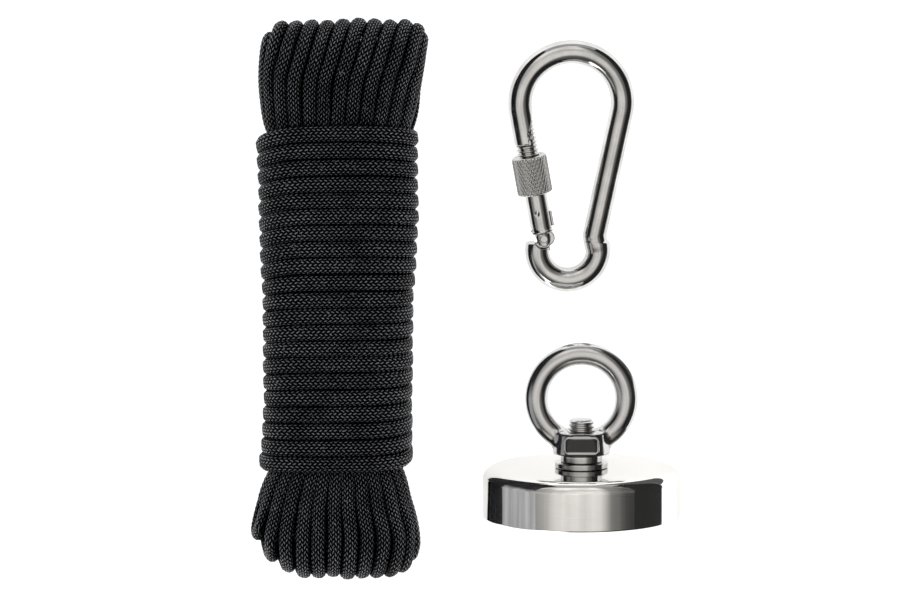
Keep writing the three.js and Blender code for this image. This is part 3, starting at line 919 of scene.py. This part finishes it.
gate_top = np.array([-TOP_BEND * math.cos(GATE_LEAN), -TOP_BEND * math.sin(GATE_LEAN), 0])
gate_down = np.array([math.sin(GATE_LEAN), -math.cos(GATE_LEAN), 0])
gate_in = np.array([math.cos(GATE_LEAN), math.sin(GATE_LEAN), 0])
leg_top = np.array([TOP_BEND * math.cos(LEG_LEAN), -TOP_BEND * math.sin(LEG_LEAN), 0])
leg_down = np.array([-math.sin(LEG_LEAN), -math.cos(LEG_LEAN), 0])
nose = gate_top + gate_down * (NOSE_Y - gate_top[1]) / gate_down[1]
hinge_local = nose + gate_down * HINGE_DOWN

# The frame states the hinge's point and axis and the gate's own direction. They place the whole carabiner.
hinge_joint = joint_of["gate_hinge"]
thick_axis = -Vector(hinge_joint["axis"]).normalized()
up_axis = Vector(joint_of["sleeve_slide"]["axis"]).normalized()
in_axis = up_axis.cross(thick_axis).normalized()
world_axes = Matrix((in_axis, up_axis, thick_axis)).transposed()
local_axes = Matrix((Vector(gate_in), Vector(-gate_down), Vector((0, 0, 1)))).transposed()
turn = world_axes @ local_axes.transposed()
HOOK = Matrix.Translation(Vector(hinge_joint["pos_m"]) - turn @ (Vector(hinge_local) * MM)) @ turn.to_4x4()
GATE = HOOK @ Matrix.Translation(Vector(nose) * MM) @ Matrix.Rotation(GATE_LEAN, 4, "Z")


def to_gate(p):
    """Carabiner points as across, up from the nose's cut face, and thickness."""
    q = p - nose
    return q @ gate_in, q @ -gate_down, p[:, 2]


def hook_rod(p, up):
    """The bent rod: the top bend down to the nose, the leg, and the thicker bottom bend."""
    half_turn = (PI + GATE_LEAN + LEG_LEAN) / 2
    top = arc_tube(p, (0, 0), TOP_BEND, half_turn - LEG_LEAN, half_turn, ROD_R)
    nose_rod = both(tube(p, gate_top, nose + gate_down * 3, ROD_R), -up, 0.25)
    joint = np.array((LOW_CENTRE[0] + 0.93 * LOW_BEND, SHOULDER_Y - 0.9, 0))
    leg_end = leg_top + leg_down * LEG_LENGTH
    leg = np.minimum(tube(p, leg_top, leg_end, ROD_R), tube(p, leg_end, joint, ROD_R))
    low = arc_tube(p, LOW_CENTRE, LOW_BEND, -PI / 2, PI / 2 + 0.5, ROD_R + 0.1)
    low = both(low, p[:, 1] - SHOULDER_Y, 0.4)
    return union(np.min([top, nose_rod, leg], axis=0), low, 0.7)


def cut_nose(body, across, up, z):
    """The hook with its nose cut back, and the notched tongue on it that takes the latch pin."""
    near_nose = (across < 7) & (up < 13) & (up > -4)
    limit = np.interp(up, [-0.1, 3.5, 4.4, 9.6], [0.8, 0.8, 1.5, 3.9])
    body = np.where(near_nose, both(body, across - limit, 0.25), body)
    tongue = np.max([slab(across, 0.3, 2.6), slab(up, 0.6, 3.2), slab(z, -1.2, 1.2)], axis=0)
    notch = np.hypot(across - LATCH_AT, up - LATCH_AT) - 0.75
    mouth = np.maximum(slab(up, LATCH_AT - 0.75, LATCH_AT + 0.75), LATCH_AT - across)
    tongue = carve(tongue, np.minimum(notch, mouth), 0.1)
    return union(body, tongue, 0.15)


def cut_hinge(body, across, up, z):
    """The hook with room for the gate's end, its own flat end between the cheeks, and the pin's hole."""
    below = up + HINGE_DOWN
    beside = TENON_HALF - np.abs(z)
    pocket = both(np.hypot(across, below) - 2.95, beside, 0.15)
    body = carve(body, pocket, 0.25)
    cam = both(np.hypot(across - 0.9, below) - 2.5, -beside, 0.2)
    web = both(both(slab(across, -1.6, 1.3), slab(below, -4, 0), 0.4), -beside, 0.2)
    body = union(body, union(cam, web, 0.3), 0.25)
    return carve(body, np.hypot(across, below) - HINGE_HOLE_R, 0.1)


def hook_field(p):
    across, up, z = to_gate(p)
    body = hook_rod(p, up)
    body = cut_nose(body, across, up, z)
    return cut_hinge(body, across, up, z)


def gate_barrel(p, r, end):
    """The gate's round part: threaded, with a rim at its hinge end and cut away for the hook's nose."""
    x, y, z = p.T
    threaded = np.clip((y + 15.2) / 0.6, 0, 1)
    barrel = r - (BARREL_R - threaded * thread(y, np.arctan2(z, x), THREAD_PITCH, 0.55))
    rim = 0.45 * np.exp(-(((y - end - 2.25) / 0.5) ** 2))
    barrel = both(barrel - rim, slab(y, end + 1.6, BARREL_TOP), 0.35)
    limit = np.interp(y, [-0.3, 3.8, 4.75, BARREL_TOP], [1.1, 1.1, 1.8, 3.9])
    nose_room = np.maximum(x - limit, -0.35 - y)
    barrel = carve(barrel, nose_room, 0.2)
    tongue_room = np.max([slab(x, -1, 2.95), slab(y, 0.3, 3.5), slab(z, -1.5, 1.5)], axis=0)
    barrel = carve(barrel, tongue_room, 0.15)
    dimple = np.linalg.norm(p - np.array((-0.9, -21.6, 3.75)), axis=1) - 0.95
    return carve(barrel, dimple, 0.25)


def gate_fork(x, y, z, r, end):
    """The two rounded cheeks that hold the hinge pin."""
    cheeks = both(r - 2.72, 1.65 - np.abs(z), 0.15)
    ears = both(np.hypot(x, y - end) - 2.3, cheeks, 0.3)
    neck = both(slab(y, end, end + 3), cheeks, 0.3)
    return union(ears, neck, 0.4)


def gate_field(p):
    """In the gate's own frame: x across, y up from the nose's cut face, z thickness."""
    x, y, z = p.T
    end = -HINGE_DOWN
    r = np.hypot(x, z)
    body = union(gate_barrel(p, r, end), gate_fork(x, y, z, r, end), 0.2)
    heel = both(both(slab(x, 2.4, 3.85), slab(y, end + 1.3, end + 8), 0.3), np.abs(z) - 1.4, 0.3)
    body = union(body, heel, 0.4)
    slot = both(np.abs(z) - SLOT_HALF, y - (end + 3.4), 0.2)
    body = carve(body, slot, 0.2)
    spring_bore = both(r - 1.5, slab(y, end, -14.9), 0.1)
    body = carve(body, spring_bore, 0.1)
    body = carve(body, np.hypot(x, y - end) - HINGE_HOLE_R - 0.02, 0.1)
    latch_hole = np.hypot(x - LATCH_AT, y - LATCH_AT) - 0.62
    return carve(body, latch_hole, 0.1)


SLEEVE_TOP, SLEEVE_LENGTH = -3.86, 11.9
SLEEVE_R, SLEEVE_BORE_R = 5.35, 3.45
COUNTERBORE_R, COUNTERBORE_DEPTH = 3.85, 5.7
KNURL_TEETH = 30
KNURL_SLANT = math.radians(27)
KNURL_DEPTH = 0.6
GROOVE_HALF = 0.34  # half a groove's width, as a share of the teeth's spacing


def sleeve_profile():
    """(radius, height) round the sleeve's section, with many rows up its outside for the knurl."""
    top, bottom = SLEEVE_TOP, SLEEVE_TOP - SLEEVE_LENGTH
    step = SLEEVE_TOP - COUNTERBORE_DEPTH
    edge = [(0.75, 0), (0.4, 0.12), (0.12, 0.4)]
    profile = [(SLEEVE_BORE_R + 0.3, bottom)]
    profile += [(SLEEVE_R - inward, bottom + rise) for inward, rise in edge]
    profile += [(SLEEVE_R, y) for y in np.linspace(bottom + 0.7, top - 0.7, 96)]
    profile += [(SLEEVE_R - inward, top - rise) for inward, rise in reversed(edge)]
    profile += [(COUNTERBORE_R + 0.2, top), (COUNTERBORE_R, top - 0.2)]
    profile += [(COUNTERBORE_R, step), (SLEEVE_BORE_R, step), (SLEEVE_BORE_R, bottom + 0.3)]
    return np.array(profile)


def sleeve_mesh():
    """The lock sleeve: a turned ring whose outside is cross-knurled."""
    segments = 360
    profile = sleeve_profile()
    angles = np.linspace(0, 2 * PI, segments, endpoint=False)[:, None]
    lead = 2 * PI * SLEEVE_R / KNURL_TEETH / math.tan(KNURL_SLANT)
    radius = np.repeat(profile[None, :, 0], segments, axis=0)
    height = np.repeat(profile[None, :, 1], segments, axis=0)
    depth = 0
    for hand in (1, -1):
        across = (angles * KNURL_TEETH / (2 * PI) + hand * height / lead) % 1 - 0.5
        groove = np.clip(1 - np.abs(across) / GROOVE_HALF, 0, 1)
        # each hand of groove bites deeper on one side of the sleeve
        bite = np.clip(0.55 - 0.8 * hand * np.sin(angles), 0.1, 1)
        depth = np.maximum(depth, groove * bite)
    radius = radius - KNURL_DEPTH * depth * (radius > SLEEVE_R - 0.01)
    points = np.stack([radius * np.sin(angles), height, radius * np.cos(angles)], -1).reshape(-1, 3)
    return points, closed_quads(segments, len(profile))


def make_hook():
    field_piece("hook_body", hook_field, (-19.6, -58.6, -3.9), (19.6, 19.6, 3.9), 0.3,
                "hook", STAINLESS, HOOK)


def make_gate():
    field_piece("gate", gate_field, (-3.8, -32.6, -3.8), (4.2, 9.5, 3.8), 0.17,
                "gate", STAINLESS, GATE)


def make_sleeve():
    points, faces = sleeve_mesh()
    build("lock_sleeve_fine", "lock_sleeve", points, faces, "sleeve", KNURLED, place=GATE)


def make_hinge_pin():
    """The pin, with a riveted head at each end."""
    pin_r, head_r, inside, outside = 1.0, 1.3, 2.6, 2.8
    profile = [
        (0.02, -outside, 0.01),
        (pin_r, -outside, 0.2),
        (head_r, -inside, 0.05),
        (pin_r, -inside, 0.02),
        (pin_r, inside, 0.02),
        (head_r, inside, 0.05),
        (pin_r, outside, 0.2),
        (0.02, outside, 0.01),
    ]
    points, faces, normals = lathe(profile, 64)
    across = Matrix.Translation((0, -HINGE_DOWN * MM, 0)) @ Matrix.Rotation(PI / 2, 4, "X")
    build("hinge_pin_fine", "hinge_pin", points, faces, "hook", STAINLESS, normals,
          place=GATE @ across)


make_hook()
make_gate()
make_sleeve()
make_hinge_pin()

# The spring, its plunger and the latch pin keep their shapes from the frame.
for name in ("gate_spring", "spring_plunger", "latch_pin"):
    small_piece = frame["nodes"][name]
    small_piece.data.materials.clear()
    small_piece.data.materials.append(SATIN)

# ---------------------------------------------------------------- studio

FLOOR_HALF = 3.0
NEAR = 0.33
CARD_LOW = 0.001  # the cards' lower edges, just clear of the floor
RIGHT, LEFT = 0.205, -0.1
FLAG_LEFT, FLAG_FRONT = 0.077, -0.012
CEILING_HIGH, CEILING_HALF = 0.6, 1.3


def plane(name, corners, colour, glow=0.0):
    """A flat matt card of the studio."""
    mesh = bpy.data.meshes.new(name)
    mesh.from_pydata([Vector(c) for c in corners], [], [(0, 1, 2, 3)])
    material, _, shader = new_material(name)
    shader.inputs["Base Color"].default_value = (*colour, 1)
    shader.inputs["Roughness"].default_value = 0.9
    if glow:
        shader.inputs["Emission Color"].default_value = (1, 1, 1, 1)
        shader.inputs["Emission Strength"].default_value = glow
    mesh.materials.append(material)
    made = bpy.data.objects.new(name, mesh)
    bpy.context.scene.collection.objects.link(made)
    return made


def reflected_only(card):
    """A studio card that shows in the metal but not to the camera, and takes no light from the set."""
    card.visible_camera = False
    card.visible_diffuse = False
    card.visible_shadow = False


def glow_card(name, corners, across, along, tint):
    """A card that glows unevenly: across and along are ramps of (share of the card, strength)."""
    card = plane(name, corners, (0, 0, 0))
    tree = card.data.materials[0].node_tree
    shader = tree.nodes["Principled BSDF"]
    shader.inputs["Specular IOR Level"].default_value = 0
    place = node(tree, "ShaderNodeTexCoord").outputs["Generated"]
    split = node(tree, "ShaderNodeSeparateXYZ", {"Vector": place})
    sideways = ramp(tree, split.outputs["X"], across)
    lengthways = ramp(tree, split.outputs["Y"], along)
    patchy = ramp(tree, noise(tree, place, 5.5, 3), [(0.38, 0.55), (0.62, 1.0)])
    glow = sideways
    for factor in (lengthways, patchy, (*tint, 1)):
        glow = blended(tree, glow, factor, "MULTIPLY")
    tree.links.new(glow, shader.inputs["Emission Color"])
    shader.inputs["Emission Strength"].default_value = 1.5
    reflected_only(card)


def make_floor():
    """A glowing white floor, and a grey patch that the plated top reflects when seen from one side."""
    half = FLOOR_HALF
    corners = [(-half, -half, 0), (half, -half, 0), (half, half, 0), (-half, half, 0)]
    plane("floor", corners, (0.9, 0.9, 0.9), 0.86)
    flag = [(FLAG_LEFT, FLAG_FRONT), (RIGHT, FLAG_FRONT), (RIGHT, NEAR), (FLAG_LEFT, NEAR)]
    reflected_only(plane("floor_flag", [(x, y, 0.0005) for x, y in flag], (0.16, 0.16, 0.165)))


def make_cards():
    """Upright cards that the pot's wall and the rods reflect, black or glowing."""
    black = (0.012, 0.012, 0.012)
    walls = [
        ("card_right", (RIGHT, -NEAR), (RIGHT, NEAR), 0.13, 0),
        ("card_back", (NEAR, NEAR), (-NEAR, NEAR), 0.1, 0.5),
        ("card_front", (-0.01, -NEAR), (NEAR, -NEAR), 0.20, 0),
        ("lit_front", (-NEAR, -0.25), (-0.02, -0.25), 0.22, 2.6),
    ]
    for name, (x0, y0), (x1, y1), tall, glow in walls:
        corners = [(x0, y0, CARD_LOW), (x1, y1, CARD_LOW), (x1, y1, tall), (x0, y0, tall)]
        reflected_only(plane(name, corners, black, glow))
    tall = 0.14
    glow_card(
        "lit_left",
        [(LEFT, -NEAR, CARD_LOW), (LEFT, NEAR, CARD_LOW), (LEFT, NEAR, tall), (LEFT, -NEAR, tall)],
        [(0.0, 0.5), (1.0, 0.5)],
        [(0.0, 0.8), (0.43, 0.9), (0.5, 0.06), (1.0, 0.03)],
        (0.97, 0.97, 1.0),
    )


def make_ceiling():
    """The uneven light overhead that the metal's upper sides reflect."""
    half, high = CEILING_HALF, CEILING_HIGH
    glow_card(
        "ceiling",
        [(-half, -half, high), (-half, half, high), (half, half, high), (half, -half, high)],
        [(0.0, 0.3), (0.3, 0.5), (0.38, 0.85), (0.5, 0.95),
         (0.6, 0.8), (0.66, 0.25), (0.8, 0.14), (1.0, 0.1)],
        [(0.0, 0.05), (0.36, 0.16), (0.45, 0.75), (0.53, 0.8), (0.75, 1.0)],
        (1.0, 0.975, 0.95),
    )


def make_world():
    world = bpy.data.worlds.new("studio")
    world.use_nodes = True
    background = world.node_tree.nodes["Background"]
    background.inputs["Color"].default_value = (0.97, 0.975, 0.98, 1)
    background.inputs["Strength"].default_value = 0.4
    bpy.context.scene.world = world
    bpy.context.scene.view_settings.view_transform = "Standard"


def make_lamp(name, place, size, power):
    light = bpy.data.lights.new(name, "AREA")
    light.size = size
    light.energy = power
    lamp = bpy.data.objects.new(name, light)
    lamp.location = place
    lamp.rotation_euler = (-Vector(place)).to_track_quat("-Z", "Y").to_euler()
    lamp.visible_glossy = False
    bpy.context.scene.collection.objects.link(lamp)


make_floor()
make_cards()
make_ceiling()
make_world()
make_lamp("soft_left", (-0.9, 0.6, 1.1), 0.9, 5)
make_lamp("soft_right", (0.9, -0.3, 1.2), 0.7, 3)
